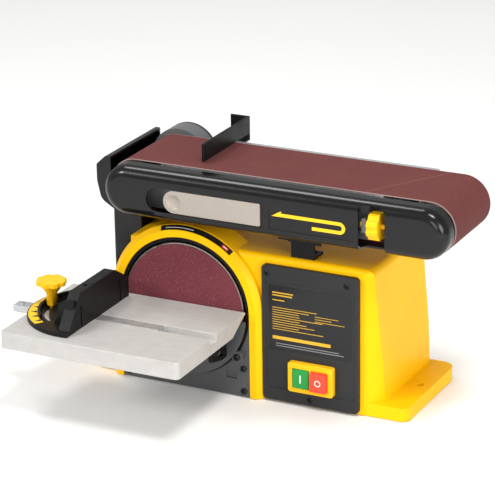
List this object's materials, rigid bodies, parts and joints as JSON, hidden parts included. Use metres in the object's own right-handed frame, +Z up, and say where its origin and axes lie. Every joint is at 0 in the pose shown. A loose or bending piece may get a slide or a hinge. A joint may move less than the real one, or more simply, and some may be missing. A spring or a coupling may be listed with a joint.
{
  "type": "bench belt and disc grinder",
  "caption": "Bench grinder with a swing-up abrasive belt arm and a disc with a tilting table and mitre gauge.",
  "frame": {"origin": "bench level, midway between the two bench bolts", "axes": "+X along the belt toward its free drum, +Y away from the operator, +Z up"},
  "size_m": [0.508, 0.3455, 0.2945],
  "materials": {
    "yellow_paint": "gloss",
    "black_gloss": "semi-gloss",
    "black_matte": "satin",
    "dark_panel": "satin",
    "black_steel": "satin powder coat",
    "grey_cast": "satin",
    "steel": "zinc plated",
    "dark_steel": "blackened",
    "cast_aluminium": "ground",
    "abrasive_sheet": "grit",
    "abrasive_cloth": "grit",
    "rubber": "matte",
    "yellow_plastic": "satin",
    "green_plastic": "satin",
    "red_plastic": "satin",
    "lever_plastic": "satin silver",
    "motor_steel": "satin"
  },
  "bodies": {
    "base": {"base_housing": "yellow_paint", "bottom_plate": "black_steel", "rubber_feet": "rubber", "disc_liner": "black_matte", "front_plate": "dark_panel", "lower_disc_guard": "dark_panel", "control_panel": "dark_panel", "switch_housing": "yellow_plastic", "green_spring": "steel", "red_spring": "steel", "cable_gland": "black_matte", "housing_screws": "dark_steel", "motor_can": "motor_steel", "motor_bells": "cast_aluminium", "shaft_bearings": "steel", "pivot_housing": "grey_cast", "rear_cover": "dark_panel", "drive_belt": "rubber", "dust_hood": "black_gloss", "trunnion_brackets": "black_steel", "hinge_pins": "steel"},
    "rotor": {"motor_shaft": "steel", "rotor_core": "motor_steel", "cooling_fan": "black_matte", "motor_pulley": "cast_aluminium", "disc_plate": "cast_aluminium", "abrasive_disc": "abrasive_sheet", "disc_hub_screw": "dark_steel"},
    "drive": {"drive_shaft": "steel", "drive_drum": "cast_aluminium", "drum_pulley": "cast_aluminium"},
    "arm": {"arm_beam": "grey_cast", "back_plate": "steel", "side_plate": "grey_cast", "arm_screws": "dark_steel", "platen": "steel", "side_cover": "black_gloss", "abrasive_belt": "abrasive_cloth", "work_stop": "black_steel", "support_bracket": "black_steel", "lever_pin": "steel", "tension_spring": "steel"},
    "lever": {"tension_lever": "lever_plastic"},
    "slide": {"tension_slide": "steel", "yoke_pin": "steel"},
    "yoke": {"idler_yoke": "grey_cast", "idler_shaft": "steel"},
    "idler": {"idler_drum": "cast_aluminium", "idler_bearings": "steel"},
    "tracking": {"tracking_knob": "yellow_plastic"},
    "table": {"table": "cast_aluminium", "trunnions": "black_steel", "trunnion_screws": "dark_steel"},
    "lock": {"table_lock_knob": "black_matte"},
    "mitre_bar": {"mitre_bar": "steel", "mitre_pivot": "steel"},
    "mitre_head": {"mitre_head": "black_matte"},
    "mitre_clamp": {"mitre_knob": "yellow_plastic"},
    "green_button": {"green_button": "green_plastic"},
    "red_button": {"red_button": "red_plastic"}
  },
  "joints": [
    {"name": "disc_spin", "type": "hinge", "parent": "base", "child": "rotor", "pos_m": [-0.0735, 0, 0.102], "axis": [0, -1, 0], "continuous": true},
    {"name": "drive_drum_spin", "type": "hinge", "parent": "base", "child": "drive", "pos_m": [-0.1315, 0, 0.241], "axis": [0, -1, 0], "continuous": true},
    {"name": "arm_swing", "type": "hinge", "parent": "base", "child": "arm", "pos_m": [-0.1315, 0, 0.241], "axis": [0, -1, 0], "range_deg": [0, 90]},
    {"name": "tension_slide", "type": "slide", "parent": "arm", "child": "slide", "axis": [-1, 0, 0], "range_m": [0, 0.005], "deforming": ["tension_spring"]},
    {"name": "tension_lever_swing", "type": "hinge", "parent": "arm", "child": "lever", "pos_m": [0.0305, -0.105, 0.237], "axis": [0, 0, 1], "range_deg": [0, 80]},
    {"name": "tracking_yaw", "type": "hinge", "parent": "slide", "child": "yoke", "pos_m": [0.18072, -0.0342, 0.241], "axis": [0, 0, 1], "range_deg": [-0.3, 0.3]},
    {"name": "tracking_knob_turn", "type": "hinge", "parent": "arm", "child": "tracking", "pos_m": [0.16772, -0.0999, 0.241], "axis": [1, 0, 0], "range_deg": [-180, 180]},
    {"name": "idler_drum_spin", "type": "hinge", "parent": "yoke", "child": "idler", "pos_m": [0.22972, 0, 0.241], "axis": [0, -1, 0], "continuous": true},
    {"name": "table_tilt", "type": "hinge", "parent": "base", "child": "table", "pos_m": [-0.0735, -0.097, 0.091], "axis": [1, 0, 0], "range_deg": [0, 45]},
    {"name": "table_lock_turn", "type": "hinge", "parent": "table", "child": "lock", "pos_m": [-0.0735, -0.12256, 0.07174], "axis": [1, 0, 0], "range_deg": [0, 180]},
    {"name": "mitre_slide", "type": "slide", "parent": "table", "child": "mitre_bar", "axis": [1, 0, 0], "range_m": [-0.08, 0.13]},
    {"name": "mitre_turn", "type": "hinge", "parent": "mitre_bar", "child": "mitre_head", "pos_m": [-0.1493, -0.1675, 0.108], "axis": [0, 0, 1], "range_deg": [-50, 50]},
    {"name": "mitre_clamp_turn", "type": "hinge", "parent": "mitre_bar", "child": "mitre_clamp", "pos_m": [-0.1993, -0.1675, 0.108], "axis": [0, 0, 1], "range_deg": [0, 180]},
    {"name": "green_press", "type": "slide", "parent": "base", "child": "green_button", "axis": [0, 1, 0], "range_m": [0, 0.003], "stiffness_N_per_m": 500, "springref_m": -0.002, "deforming": ["green_spring"]},
    {"name": "red_press", "type": "slide", "parent": "base", "child": "red_button", "axis": [0, 1, 0], "range_m": [0, 0.003], "stiffness_N_per_m": 500, "springref_m": -0.002, "deforming": ["red_spring"]}
  ],
  "couplings": [
    {"joint": "drive_drum_spin", "follows": "disc_spin", "ratio": 1},
    {"joint": "idler_drum_spin", "follows": "disc_spin", "ratio": 1},
    {"joint": "tension_lever_swing", "follows": "tension_slide", "rad_per_m": 279.25},
    {"joint": "tracking_knob_turn", "follows": "tracking_yaw", "ratio": 599.9}
  ]
}
